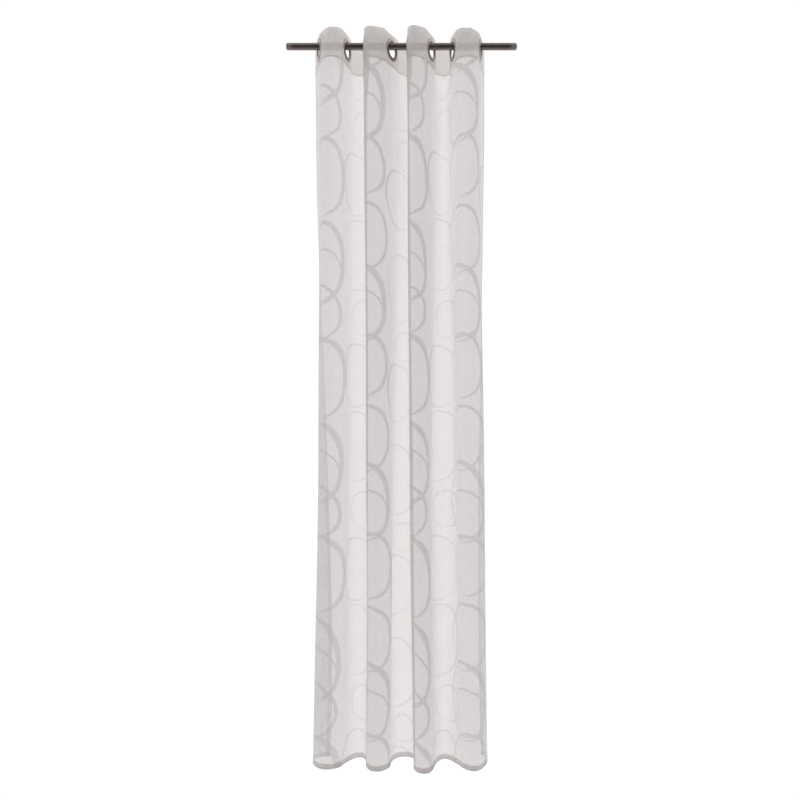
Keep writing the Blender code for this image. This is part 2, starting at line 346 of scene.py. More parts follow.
class CURTAIN_PG_metal(PropertyGroup):
    """The sizes and colours of the eyelets and the rod."""

    ring_hole_radius: FloatProperty(
        name="Ring hole radius", description="The radius of an eyelet's hole", default=0.022, unit="LENGTH"
    )
    ring_crest_radius: FloatProperty(
        name="Ring crest radius",
        description="The radius at which an eyelet's flange stands highest",
        default=0.0268,
        unit="LENGTH",
    )
    ring_half_depth: FloatProperty(
        name="Ring half depth",
        description="From the middle of the cloth to the crest of an eyelet's flange",
        default=0.0032,
        unit="LENGTH",
    )
    cap_face_radius: FloatProperty(
        name="Cap face radius",
        description="The radius of the flat at the rod's end",
        default=0.0048,
        unit="LENGTH",
    )
    eyelet_colour: FloatVectorProperty(
        name="Eyelet colour",
        description="The satin nickel of the eyelets",
        default=(0.34, 0.29, 0.25),
        subtype="COLOR",
    )
    rod_colour: FloatVectorProperty(
        name="Rod colour",
        description="The dark nickel of the rod",
        default=(0.262, 0.224, 0.205),
        subtype="COLOR",
    )


class CURTAIN_PG_studio(PropertyGroup):
    """The light and the camera."""

    backdrop_brightness: FloatProperty(
        name="Backdrop brightness", description="How bright the surroundings look", default=1.04
    )
    room_light: FloatProperty(
        name="Room light", description="The even light from all sides", default=0.47
    )
    ceiling_light: FloatProperty(
        name="Ceiling light", description="The further light from overhead", default=0.40
    )
    window_light: FloatProperty(
        name="Window light", description="The further light from behind the curtain", default=0.42
    )
    side_light: FloatProperty(
        name="Side light", description="The further light from the left and the right", default=0.62
    )
    camera_distance: FloatProperty(
        name="Camera distance", description="From the rod's plane to the camera", default=2.9, unit="LENGTH"
    )
    camera_x: FloatProperty(
        name="Camera x", description="The camera's place along the rod", default=-0.0047, unit="LENGTH"
    )
    camera_z: FloatProperty(
        name="Camera height", description="The camera's height above the rod", default=-1.305, unit="LENGTH"
    )
    camera_lens: FloatProperty(
        name="Camera lens", description="The camera's focal length in millimetres", default=42.24
    )
    camera_shift: FloatProperty(
        name="Camera shift", description="The camera's vertical shift", default=0.08625
    )


def at_height(top, mid, hem, drop):
    """A value at a share of the drop from heading to hem: it leaves the heading with no slope and passes
    through its middle and hem values, as a cubic."""
    square = 8 * (mid - top) - (hem - top)
    cube = (hem - top) - square
    return top + square * drop**2 + cube * drop**3


def unit(degrees):
    """The unit vectors, seen from above, of directions given in degrees."""
    angle = np.radians(degrees)
    return np.stack([np.cos(angle), np.sin(angle)], axis=-1)


def flat_half_width(z):
    """Half the width of the flat stretch under an eyelet: the ring's own width in the heading, easing to
    almost nothing where the cloth hangs free."""
    below = np.clip((HEADING_FOOT_Z - z) / STIFF_DROP, 0, 1)
    return RING_FLAT * (1 - below) ** 2 * (1 + 2 * below) + CLEARANCE


def bend_lines(start, start_run, end, end_run, cloth):
    """The free bends between flats, one for each height and each pair of eyelets. Each is a cubic Bezier
    curve from start to end, and its two handles share one length, halved in on until it holds the cloth."""
    t = np.linspace(0, 1, CURVE_SAMPLES)[:, None]
    start, end = start[:, :, None], end[:, :, None]
    start_run, end_run = start_run[:, :, None], end_run[:, :, None]
    ends = (1 - t) ** 2 * (1 + 2 * t) * start + t**2 * (3 - 2 * t) * end
    pull = 3 * t * (1 - t) ** 2 * start_run - 3 * t**2 * (1 - t) * end_run
    shortest = np.zeros(start.shape[:2])
    longest = np.full(start.shape[:2], 2 * EYELET_SPACING)
    for _ in range(HALVINGS):
        handle = (shortest + longest) / 2
        lines = ends + handle[:, :, None, None] * pull
        length = np.linalg.norm(np.diff(lines, axis=2), axis=3).sum(axis=2)
        short = length < cloth
        shortest = np.where(short, handle, shortest)
        longest = np.where(short, longest, handle)
    return lines


def flap_lines(inner, inner_degrees, edge_degrees, cloth, side):
    """The cloth from the outermost flat out to a side edge, for each height: its direction turns evenly.
    side is -1 at the left edge and 1 at the right one."""
    share = (np.arange(CURVE_SAMPLES - 1) + 0.5) / (CURVE_SAMPLES - 1)
    degrees = inner_degrees[:, None] + (edge_degrees - inner_degrees)[:, None] * share
    steps = side * unit(degrees) * cloth[:, None, None] / len(share)
    return np.concatenate([inner[:, None], inner[:, None] + np.cumsum(steps, axis=1)], axis=1)


def wave_lines(z):
    """The cloth seen from above at each height of z, as a line of points from its left side edge to its
    right one: flap, flat, bend, flat and so on."""
    drop = np.clip((HEADING_FOOT_Z - z) / (HEADING_FOOT_Z - HEM_EDGE_Z), 0, None)
    table = {name: np.array([getattr(row, name) for row in CROSSINGS]) for name in Crossing._fields}
    share = drop[:, None]
    x = at_height(table["x_top"], table["x_mid"], table["x_hem"], share) * MM
    out = at_height(0.0, table["out_mid"], table["out_hem"], share) * MM
    run = at_height(table["run_top"], table["run_mid"], table["run_hem"], share)
    places = np.stack([x, -out], axis=-1)
    flat = flat_half_width(z)
    lefts = places - flat[:, None, None] * unit(run)
    rights = places + flat[:, None, None] * unit(run)
    held = (EYELET_SPACING - 2 * flat)[:, None]
    bends = bend_lines(rights[:, :-1], unit(run[:, :-1]), lefts[:, 1:], unit(run[:, 1:]), held)
    bends = bends.reshape(len(z), -1, 2)
    left_run, right_run = (at_height(*edge, drop) for edge in (LEFT_EDGE, RIGHT_EDGE))
    left = flap_lines(lefts[:, 0], run[:, 0], left_run, FLAP_WIDTH - flat, -1)[:, ::-1]
    right = flap_lines(rights[:, -1], run[:, -1], right_run, FLAP_WIDTH - flat, 1)
    return np.concatenate([left, bends, right], axis=1)


def points_across(lines, across):
    """The points at the distances across, measured along each line. The lines are laid end to end on one
    long axis, so that one interpolation serves them all."""
    steps = np.linalg.norm(np.diff(lines, axis=1), axis=2)
    along = np.concatenate([np.zeros((len(lines), 1)), np.cumsum(steps, axis=1)], axis=1)
    start = 2 * CLOTH_WIDTH * np.arange(len(lines))[:, None]
    wanted = np.clip(across, 0, along[:, -1:])
    return np.stack(
        [np.interp(start + wanted, (start + along).ravel(), lines[..., k].ravel()) for k in range(2)],
        axis=-1,
    )


def crease_relief(creases, across, z):
    """The sum of the given creases: a bell across each one, fading to nothing at both of its ends."""
    below = TOP_EDGE_Z - z
    relief = np.zeros(np.broadcast_shapes(across.shape, z.shape))
    for crease in creases:
        right = across - crease.across * MM
        down = below - crease.below * MM
        lean = math.radians(crease.lean)
        length = (right * math.sin(lean) + down * math.cos(lean)) / (crease.reach * MM)
        width = (right * math.cos(lean) - down * math.sin(lean)) / (crease.spread * MM)
        fade = np.clip(1 - length**2, 0, 1) ** 2
        relief += crease.height * MM * np.exp(-(width**2)) * fade
    return relief


def ripple_relief(across, z):
    """Slow waves that run slightly askew, growing from nothing at the heading to full height below it."""
    below = HEADING_FOOT_Z - z
    grown = np.clip(below / STIFF_DROP, 0, 1)
    relief = np.zeros(np.broadcast_shapes(across.shape, z.shape))
    for wave in RIPPLES:
        turn = across / wave.wide + below / wave.tall + wave.start / 360
        relief += wave.height * MM * np.sin(2 * math.pi * turn)
    return relief * grown**2 * (3 - 2 * grown)


def ring_seat(across, z):
    """0 where an eyelet clamps the cloth, easing to 1 away from it, so that no crease lifts a ring's seat."""
    middles = FLAP_WIDTH + EYELET_SPACING * np.arange(EYELET_COUNT)
    nearest = np.abs(across[..., None] - middles).min(axis=-1)
    apart = np.hypot(nearest, z - RING_CENTRE_Z)
    free = np.clip((apart - RING_OUTER_RADIUS) / (0.6 * RING_OUTER_RADIUS), 0, 1)
    return free**2 * (3 - 2 * free)


def cloth_surface(across, z):
    """Points and front normals of the cloth's middle surface: the wave's point, pushed along the wave's
    normal by the creases and ripples there. across is one row of distances across the cloth. z is a column
    of heights, or within the heading, where every height has the same wave, one row beside across."""
    lines = wave_lines(z[:, 0])
    at = points_across(lines, across)
    ahead = points_across(lines, np.minimum(across + SLOPE_STEP, CLOTH_WIDTH))
    behind = points_across(lines, np.maximum(across - SLOPE_STEP, 0))
    run = ahead - behind
    run /= np.linalg.norm(run, axis=-1, keepdims=True)
    normals = np.stack([run[..., 1], -run[..., 0], np.zeros(run.shape[:2])], axis=-1)
    relief = crease_relief(HEADING_CREASES + DRAG_CREASES + LONG_CREASES + FOLD_CREASES, across, z)
    relief = (relief + ripple_relief(across, z)) * ring_seat(across, z)
    level = np.broadcast_to(z, at.shape[:2])
    points = np.dstack([at, level]) + normals * relief[..., None]
    return points, normals


def grid_faces(rows, columns, first=0):
    """The quads of a grid of rows by columns vertices, wound so that the front of the cloth is outside."""
    index = first + np.arange(rows * columns).reshape(rows, columns)
    corners = [index[:-1, :-1], index[1:, :-1], index[1:, 1:], index[:-1, 1:]]
    return np.stack(corners, axis=-1).reshape(-1, 4)


def hem_turn(past, gap):
    """Where a turned hem lies. past is the distance beyond the hem's fold on the cut cloth, which lies back
    on itself a gap behind the front layer. The answer is the distance beyond the fold once it is turned, and
    the depth behind the front layer."""
    turned = np.clip(past / (HEM_TURN * gap), 0, 1)
    return -np.abs(past), gap * turned**2 * (3 - 2 * turned)


def hem_steps(hem, gap):
    """Distances past a hem's fold that hold its turn and its back layer."""
    return np.concatenate([HEM_TURN * gap * np.array([0.3, 0.6, 1.0]), hem * np.array([0.35, 0.7, 1.0])])


def welded(vertices, quads):
    """Makes vertices that share a place one. The answer is the vertices to keep, and the quads on them."""
    key = np.round(vertices / 0.000002).astype(np.int64)
    _, first, index = np.unique(key, axis=0, return_index=True, return_inverse=True)
    return first, index.reshape(-1)[quads]


def new_piece(name, vertices, faces, material, replaced=(), uv=None):
    """An object with the given mesh, shaded smooth, that rides on the frame and stands for its nodes."""
    mesh = bpy.data.meshes.new(name)
    mesh.from_pydata(np.asarray(vertices).tolist(), [], [list(face) for face in faces])
    if uv is not None:
        layer = mesh.uv_layers.new(name="flat_cloth")
        corners = np.concatenate([np.asarray(face) for face in faces])
        layer.data.foreach_set("uv", np.asarray(uv)[corners].ravel())
    mesh.shade_smooth()
    mesh.materials.append(material)
    piece = bpy.data.objects.new(name, mesh)
    bpy.context.scene.collection.objects.link(piece)
    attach(piece, "root")
    if replaced:
        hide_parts(*replaced)
    return piece


class Value:
    """A shader socket on which Python's operators add Math nodes."""

    def __init__(self, recipe, socket):
        self.recipe = recipe
        self.socket = socket

    def __add__(self, other):
        return self.recipe.math("ADD", self, other)

    def __sub__(self, other):
        return self.recipe.math("SUBTRACT", self, other)

    def __mul__(self, other):
        return self.recipe.math("MULTIPLY", self, other)

    def __radd__(self, other):
        return self.recipe.math("ADD", other, self)

    def __rsub__(self, other):
        return self.recipe.math("SUBTRACT", other, self)

    def __rmul__(self, other):
        return self.recipe.math("MULTIPLY", other, self)


class Recipe:
    """A material's or the world's node tree, written as expressions."""

    def __init__(self, tree):
        self.tree = tree
        tree.nodes.clear()

    def node(self, kind, settings=(), sockets=(), output=0):
        """Adds a node. settings are set first, and sockets holds a value or a link for each socket."""
        node = self.tree.nodes.new(kind)
        for name, setting in dict(settings).items():
            setattr(node, name, setting)
        for key, given in dict(sockets).items():
            if isinstance(given, Value):
                self.tree.links.new(given.socket, node.inputs[key])
            else:
                node.inputs[key].default_value = given
        return Value(self, node.outputs[output]) if node.outputs else None

    def math(self, operation, first, second=0.0):
        return self.node("ShaderNodeMath", {"operation": operation}, {0: first, 1: second})

    def vector(self, operation, *sockets, output=0):
        return self.node("ShaderNodeVectorMath", {"operation": operation}, enumerate(sockets), output)

    def parts(self, vector):
        """The X, Y and Z of a vector."""
        first = self.node("ShaderNodeSeparateXYZ", (), {0: vector})
        return tuple(Value(self, out) for out in first.socket.node.outputs)

    def ramp(self, value, low, high, low_to=0.0, high_to=1.0):
        """A soft step from low_to to high_to as the value goes from low to high."""
        sockets = {0: value, 1: low, 2: high, 3: low_to, 4: high_to}
        return self.node("ShaderNodeMapRange", {"interpolation_type": "SMOOTHSTEP"}, sockets)

    def blend(self, share, first, second):
        """A mix of two colours."""
        return self.node("ShaderNodeMix", {"data_type": "RGBA"}, {0: share, 6: first, 7: second}, 2)

    def noise(self, place, scale, detail=2.0, dimensions="2D"):
        """Soft noise from 0 to 1. scale has a number for each axis, in waves a metre."""
        scaled = self.vector("MULTIPLY", place, scale)
        sockets = {"Vector": scaled, "Scale": 1.0, "Detail": detail, "Roughness": 0.55}
        return self.node("ShaderNodeTexNoise", {"noise_dimensions": dimensions}, sockets)

    def bump(self, height, strength, distance):
        sockets = {"Height": height, "Strength": strength, "Distance": distance}
        return self.node("ShaderNodeBump", (), sockets)


def new_material(name):
    material = bpy.data.materials.new(name)
    material.use_nodes = True
    return material, Recipe(material.node_tree)


def opaque(colour):
    """A colour with its fourth number."""
    return (*colour, 1.0)


def oval_mask(recipe, place, oval, wide, tall, drift, sink, softness):
    """1 inside an ellipse of the repeat and 0 outside. The distance to its middle is wrapped to the repeat,
    turned by its lean, and measured in half sizes."""
    middle = ((oval.across - drift) * MM, (oval.down + sink) * MM, 0.0)
    half = (REPEAT_WIDE / 2, REPEAT_TALL / 2, 0.0)
    away = recipe.vector("SUBTRACT", place, middle)
    away = recipe.vector("WRAP", away, half, tuple(-side for side in half))
    if oval.lean:
        sockets = {"Vector": away, "Angle": math.radians(oval.lean)}
        away = recipe.node("ShaderNodeVectorRotate", {"rotation_type": "Z_AXIS"}, sockets)
    away = recipe.vector("MULTIPLY", away, (1 / (wide * MM), 1 / (tall * MM), 0.0))
    ratio = recipe.vector("LENGTH", away, output=1)
    return recipe.ramp(ratio, 1 - softness, 1 + softness, 1.0, 0.0)


def woven_bands(recipe, place):
    """1 on the dense bands of the woven ovals: each is an outer ellipse less an inner one."""
    sway = recipe.node(
        "ShaderNodeTexNoise", {"noise_dimensions": "2D"}, {"Vector": place, "Scale": 4.0, "Detail": 0.0}, 1
    )
    sway = recipe.vector("SUBTRACT", sway, (0.5, 0.5, 0.5))
    place = recipe.vector("ADD", place, recipe.vector("MULTIPLY", sway, (0.024, 0.024, 0.0)))
    bands = None
    for oval in OVALS:
        edge = 0.9 / oval.wide
        outer = oval_mask(recipe, place, oval, oval.wide, oval.tall, 0, 0, edge)
        inner_size = (oval.wide - oval.side, oval.tall - oval.end)
        inner = oval_mask(recipe, place, oval, *inner_size, oval.drift, oval.sink, edge)
        band = outer * (1 - inner)
        bands = band if bands is None else recipe.math("MAXIMUM", bands, band)
    return bands


def cloth_material(name, cover, colour, through, band=None):
    """Sheer woven cloth. What its yarns cover is a matt surface that also passes light, and the rest is open.
    cover is what the plain weave covers, and through is the share of the light that passes the yarns. band
    is the cover and the colour of the woven ovals on cloth that has them, and such cloth has a lower hem."""
    material, recipe = new_material(name)
    uv = recipe.node("ShaderNodeUVMap", {"uv_map": "flat_cloth"})
    place = recipe.vector("MULTIPLY", uv, (SPAN, SPAN, 0.0))
    across, down, _ = recipe.parts(place)

    weft_slubs = recipe.noise(place, (9.0, 420.0, 1.0))
    warp_slubs = recipe.noise(place, (380.0, 5.0, 1.0))
    weft_fine = recipe.noise(place, (26.0, 1100.0, 1.0), 1.0)
    cloudy = recipe.noise(place, (14.0, 8.0, 1.0))
    slubs = (weft_slubs - 0.5) * 0.30 + (warp_slubs - 0.5) * 0.32 + (weft_fine - 0.5) * 0.18

    tone = 0.5 + slubs * 0.9 + (cloudy - 0.5) * 0.25
    shade = recipe.blend(
        recipe.ramp(tone, 0.0, 1.0),
        opaque([0.90 * part for part in colour]),
        opaque([min(1.0, 1.07 * part) for part in colour]),
    )
    covered = cover + slubs * 0.20
    if band:
        band_cover, band_colour = band
        woven = woven_bands(recipe, place)
        covered = covered * (1 - woven) + (band_cover + slubs * 0.08) * woven
        shade = recipe.blend(woven, shade, opaque(band_colour))
        hem_fold = CUT_MARGIN + HEADING_FOOT_Z - HEM_EDGE_Z
        from_fold = recipe.math("ABSOLUTE", down - hem_fold)
        covered += recipe.ramp(from_fold, 0.95 * HEM_HEIGHT, 1.05 * HEM_HEIGHT, TUCKED_COVER, 0.0)
    covered = recipe.math("MINIMUM", recipe.math("MAXIMUM", covered, 0.0), 1.0)

    thread = 2 * math.pi / 0.0013
    warp = recipe.math("SINE", across * thread)
    weft = recipe.math("SINE", down * thread)
    relief = warp * weft * 0.5 + slubs * 1.6
    bump = recipe.bump(relief, 0.35, 0.0003)

    sockets = {"Base Color": shade, "Roughness": 0.82, "Normal": bump}
    sockets |= {"Specular IOR Level": 0.25, "Sheen Weight": 0.12}
    yarn = recipe.node("ShaderNodeBsdfPrincipled", (), sockets)
    glow = recipe.node("ShaderNodeBsdfTranslucent", (), {"Color": shade, "Normal": bump})
    body = recipe.node("ShaderNodeMixShader", (), {0: through, 1: yarn, 2: glow})
    clear = recipe.node("ShaderNodeBsdfTransparent")
    cloth = recipe.node("ShaderNodeMixShader", (), {0: covered, 1: clear, 2: body})
    recipe.node("ShaderNodeOutputMaterial", (), {"Surface": cloth})
    return material


def thread_material(name, colour):
    """Twisted polyester thread: matt, with a fine twist in its relief."""
    material, recipe = new_material(name)
    place = recipe.node("ShaderNodeTexCoord", output=3)
    twist = recipe.noise(place, (2600.0, 2600.0, 2600.0), 1.0, "3D")
    shade = recipe.blend(twist, opaque([0.8 * part for part in colour]), opaque(colour))
    bump = recipe.bump(twist, 0.3, 0.0002)
    sockets = {"Base Color": shade, "Roughness": 0.6, "Sheen Weight": 0.2, "Normal": bump}
    surface = recipe.node("ShaderNodeBsdfPrincipled", (), sockets)
    recipe.node("ShaderNodeOutputMaterial", (), {"Surface": surface})
    return material


def metal_material(name, colour, roughness, brushing, wear):
    """Satin plated metal. brushing gives the waves a metre of its fine scratches along each axis, and wear
    how much its colour varies; its gloss varies by a set amount."""
    material, recipe = new_material(name)
    place = recipe.node("ShaderNodeTexCoord", output=3)
    scratches = recipe.noise(place, brushing, 3.0, "3D")
    handled = recipe.noise(place, (38.0, 38.0, 38.0), 3.0, "3D")
    tone = recipe.ramp(handled * 0.6 + scratches * 0.4, 0.3, 0.7)
    shade = recipe.blend(
        tone,
        opaque([(1 - wear) * part for part in colour]),
        opaque([min(1.0, (1 + wear) * part) for part in colour]),
    )
    gloss = roughness + (handled - 0.5) * 0.16 + (scratches - 0.5) * 0.10
    bump = recipe.bump(scratches, 0.08, 0.0002)
    sockets = {"Base Color": shade, "Metallic": 1.0, "Roughness": gloss, "Normal": bump}
    surface = recipe.node("ShaderNodeBsdfPrincipled", (), sockets)
    recipe.node("ShaderNodeOutputMaterial", (), {"Surface": surface})
    return material


class CURTAIN_OT_sheer_panel(Operator):
    """Adds the sheer cloth below the heading, with its side hems and lower hem turned to the back"""

    bl_idname = "curtain.sheer_panel"
    bl_label = "Sheer Panel"

    def execute(self, context):
        look = context.scene.curtain_cloth
        tucked = 0.004
        side = hem_steps(SIDE_HEM_WIDTH, look.layer_gap)
        cut_across = np.concatenate([-side[::-1], np.linspace(0, CLOTH_WIDTH, COLUMNS), CLOTH_WIDTH + side])
        drop = HEADING_FOOT_Z - HEM_EDGE_Z
        foot = hem_steps(HEM_HEIGHT, look.hem_layer_gap)
        cut_down = np.concatenate([np.linspace(-tucked, drop, ROWS), drop + foot])

        left, left_depth = hem_turn(-cut_across, look.layer_gap)
        right, right_depth = hem_turn(cut_across - CLOTH_WIDTH, look.layer_gap)
        across = np.where(cut_across < CLOTH_WIDTH / 2, -left, CLOTH_WIDTH + right)
        lower, lower_depth = hem_turn(cut_down - drop, look.hem_layer_gap)
        points, normals = cloth_surface(across, (HEADING_FOOT_Z - drop - lower)[:, None])
        depth = lower_depth[:, None] + (left_depth + right_depth)[None]
        points = points - normals * depth[..., None]

        flat = np.dstack(np.broadcast_arrays(CUT_MARGIN + cut_across[None], CUT_MARGIN + cut_down[:, None]))
        band = (look.band_cover, look.band_colour)
        material = cloth_material("sheer_voile", look.open_weave_cover, look.yarn_colour, 0.75, band)
        panel = new_piece(
            "curtain_panel",
            points.reshape(-1, 3),
            grid_faces(len(cut_down), len(cut_across)),
            material,
            ["sheer_panel"],
            flat.reshape(-1, 2) / SPAN,
        )
        return {"FINISHED"}


def around_hole(middle, radius, left, right, low, high, divisions, rings):
    """The part of a rectangle outside a round hole, as a closed grid of (rings + 1) by points around: each
    point of the rectangle's edge is joined in a straight line to the point of the hole in its direction."""
    share = np.arange(divisions) / divisions
    foot = np.stack([left + (right - left) * share, np.full(divisions, low)], axis=1)
    up = np.stack([np.full(divisions, right), low + (high - low) * share], axis=1)
    top = np.stack([right + (left - right) * share, np.full(divisions, high)], axis=1)
    back = np.stack([np.full(divisions, left), high + (low - high) * share], axis=1)
    edge = np.concatenate([foot, up, top, back])
    edge = np.concatenate([edge, edge[:1]])
    away = edge - middle
    hole = middle + radius * away / np.linalg.norm(away, axis=1, keepdims=True)
    step = np.linspace(0, 1, rings + 1)[:, None, None] ** 1.3
    return hole + (edge - hole) * step


class CURTAIN_OT_heading(Operator):
    """Adds the stiffened band along the top: cloth folded over its tape, with a round hole for each eyelet"""

    bl_idname = "curtain.heading"
    bl_label = "Heading"

    def execute(self, context):
        look = context.scene.curtain_cloth
        half_cell, hole_radius, divisions, rings = 0.045, 0.0284, 24, 10
        middles = FLAP_WIDTH + EYELET_SPACING * np.arange(EYELET_COUNT)
        cells, flat_faces, count = [], [], 0
        for middle in middles:
            cell = around_hole(
                np.array([middle, RING_CENTRE_Z]),
                hole_radius,
                middle - half_cell,
                middle + half_cell,
                HEADING_FOOT_Z,
                TOP_EDGE_Z,
                divisions,
                rings,
            )
            cells.append(cell.reshape(-1, 2))
            flat_faces.append(grid_faces(*cell.shape[:2], count))
            count += len(cells[-1])
        levels = np.linspace(TOP_EDGE_Z, HEADING_FOOT_Z, divisions + 1)
        starts = np.concatenate([[0.0], middles + half_cell])
        ends = np.concatenate([middles - half_cell, [CLOTH_WIDTH]])
        for start, end in zip(starts, ends):
            steps = max(2, round((end - start) / (2 * half_cell / divisions)))
            across = np.linspace(start, end, steps + 1)
            cell = np.dstack(np.broadcast_arrays(across[None], levels[:, None]))
            cells.append(cell.reshape(-1, 2))
            flat_faces.append(grid_faces(*cell.shape[:2], count))
            count += len(cells[-1])
        flat = np.concatenate(cells)
        first, faces = welded(np.column_stack([flat, np.zeros(len(flat))]), np.concatenate(flat_faces))
        flat = flat[first]

        points, normals = cloth_surface(flat[:, 0], flat[None, :, 1])
        middle, normal = points[0], normals[0]
        half = look.heading_half_thickness
        front = middle + half * normal
        back = middle - half * normal

        rim = np.flatnonzero(np.abs(flat[:, 1] - TOP_EDGE_Z) < 1e-6)
        rim = rim[np.argsort(flat[rim, 0])]
        turn = np.linspace(0, math.pi, 7)[:, None, None]
        over = middle[rim] + half * np.cos(turn) * normal[rim] + half * np.sin(turn) * np.array([0, 0, 1.0])
        parts, quads, maps = [front, back], [faces, faces[:, ::-1] + len(flat)], [flat, flat]
        parts.append(over.reshape(-1, 3))
        quads.append(grid_faces(len(turn), len(rim), 2 * len(flat))[:, ::-1])
        maps.append(np.tile(flat[rim], (len(turn), 1)))
        for edge in (0.0, CLOTH_WIDTH):
            line = np.flatnonzero(np.abs(flat[:, 0] - edge) < 1e-6)
            line = line[np.argsort(-flat[line, 1])]
            side = np.stack([front[line], back[line]], axis=1).reshape(-1, 3)
            strip = grid_faces(len(line), 2, sum(len(part) for part in parts))
            parts.append(side)
            quads.append(strip if edge else strip[:, ::-1])
            maps.append(np.repeat(flat[line], 2, axis=0))
        vertices, faces = np.concatenate(parts), np.concatenate(quads)
        cut = np.concatenate(maps)
        cut[:, 0] += CUT_MARGIN
        cut[:, 1] = CUT_MARGIN + HEADING_FOOT_Z - cut[:, 1] + HEADING_CUT_DROP
        keep, faces = welded(vertices, faces)
        material = cloth_material("heading_voile", look.heading_cover, look.heading_colour, 0.68)
        heading = new_piece(
            "curtain_heading",
            vertices[keep],
            faces,
            material,
            ["heading_band"],
            cut[keep] / SPAN,
        )
        return {"FINISHED"}


def seam_stitches(points, normals, look):
    """A row of stitches on a seam: a short spindle of thread along each step of the line, half sunk in the
    cloth. points are the spots where the needle goes through."""
    start, end = points[:-1], points[1:]
    along = end - start
    step = np.linalg.norm(along, axis=1, keepdims=True)
    along = along / step
    out = normals[:-1]
    side = np.cross(along, out)
    middle = (start + end) / 2 + out * 0.6 * look.thread_radius
    half = 0.40 * step
    shape = np.array([[-1.0, 0, 0], [-0.55, 1, 0], [-0.55, 0, 1], [-0.55, -1, 0], [-0.55, 0, -1]])
    shape = np.concatenate([shape, shape * [-1, 1, 1]])
    vertices = (
        middle[:, None]
        + shape[None, :, :1] * (half * along)[:, None]
        + shape[None, :, 1:2] * look.thread_radius * side[:, None]
        + shape[None, :, 2:] * look.thread_radius * out[:, None]
    )
    ends = [(0, 2, 1), (0, 3, 2), (0, 4, 3), (0, 1, 4), (5, 6, 7), (5, 7, 8), (5, 8, 9), (5, 9, 6)]
    sides = [(1, 2, 7, 6), (2, 3, 8, 7), (3, 4, 9, 8), (4, 1, 6, 9)]
    first = 10 * np.arange(len(start))
    faces = [tuple(base + corner for corner in face) for base in first for face in ends + sides]
    return vertices.reshape(-1, 3), faces


class CURTAIN_OT_stitching(Operator):
    """Adds the sewing thread along the heading's foot, the two side hems and the lower hem"""

    bl_idname = "curtain.stitching"
    bl_label = "Stitching"

    def execute(self, context):
        look = context.scene.curtain_cloth
        inset = 0.0025
        across = np.arange(inset, CLOTH_WIDTH - inset, look.stitch_pitch)
        down = np.arange(HEADING_FOOT_Z - inset, HEM_EDGE_Z + inset, -look.stitch_pitch)
        lift = look.heading_half_thickness
        vertices, faces, count = [], [], 0
        seams = (
            (across, np.array([[HEADING_FOOT_Z + inset]]), lift),
            (across, np.array([[HEM_EDGE_Z + HEM_HEIGHT - inset]]), 0.0),
            (np.array([SIDE_HEM_WIDTH - inset]), down[:, None], 0.0),
            (np.array([CLOTH_WIDTH - SIDE_HEM_WIDTH + inset]), down[:, None], 0.0),
        )
        for seam_across, seam_z, proud in seams:
            points, normals = cloth_surface(seam_across, seam_z)
            points, normals = points.reshape(-1, 3), normals.reshape(-1, 3)
            seam, seam_faces = seam_stitches(points + proud * normals, normals, look)
            vertices.append(seam)
            faces += [tuple(corner + count for corner in face) for face in seam_faces]
            count += len(seam)
        material = thread_material("sewing_thread", look.thread_colour)
        new_piece("seam_stitches", np.concatenate(vertices), faces, material)
        return {"FINISHED"}


def turned_points(profile, steps, centre, out, up, side):
    """A profile of (radius, distance along the axis) pairs turned about the axis out through centre. Rows
    follow the profile and columns go round."""
    angle = np.linspace(0, 2 * math.pi, steps, endpoint=False)
    around = np.cos(angle)[:, None] * side + np.sin(angle)[:, None] * up
    profile = np.asarray(profile)
    return centre + profile[:, :1, None] * around[None] + profile[:, 1:, None] * out


def round_faces(rows, steps, closed):
    """The quads between a turned piece's rows. A closed profile's last row meets its first."""
    index = np.arange(rows * steps).reshape(rows, steps)
    index = np.concatenate([index, index[:, :1]], axis=1)
    if closed:
        index = np.concatenate([index, index[:1]])
    corners = [index[:-1, :-1], index[:-1, 1:], index[1:, 1:], index[1:, :-1]]
    return np.stack(corners, axis=-1).reshape(-1, 4)


def eyelet_profile(look):
    """The section of an eyelet's two clamped halves: on each side a lip on the cloth, a rounded rise to the
    crest, and a rounded fall into the hole."""
    lip = 0.0012
    rise = np.linspace(0, math.pi / 2, 10)
    outer = look.ring_crest_radius + (RING_OUTER_RADIUS - look.ring_crest_radius) * np.cos(rise)
    outer_height = lip + (look.ring_half_depth - lip) * np.sin(rise)
    fall = rise[::-1][1:]
    reach = look.ring_crest_radius - look.ring_hole_radius
    inner = look.ring_crest_radius - reach * np.cos(fall)
    inner_height = look.ring_half_depth * np.sin(fall) ** 0.8
    front = np.column_stack([np.concatenate([outer, inner]), np.concatenate([outer_height, inner_height])])
    back = (front * [1, -1])[::-1][1:]
    return np.concatenate([front, back])


class CURTAIN_OT_eyelets(Operator):
    """Adds the eight metal eyelets, each clamped in the heading and hanging on the rod"""

    bl_idname = "curtain.eyelets"
    bl_label = "Eyelets"

    def execute(self, context):
        look = context.scene.curtain_metal
        material = metal_material("eyelet_nickel", look.eyelet_colour, 0.30, (900.0, 900.0, 900.0), 0.10)
        profile = eyelet_profile(look)
        steps = 96
        for number, row in enumerate(CROSSINGS, 1):
            run = np.append(unit(row.run_top), 0.0)
            out = np.array([run[1], -run[0], 0.0])
            centre = np.array([row.x_top * MM, 0.0, RING_CENTRE_Z])
            points = turned_points(profile, steps, centre, out, np.array([0, 0, 1.0]), run)
            new_piece(
                f"metal_eyelet_{number}",
                points.reshape(-1, 3),
                round_faces(len(profile), steps, True)[:, ::-1],
                material,
                [f"eyelet_{number}"],
            )
        return {"FINISHED"}


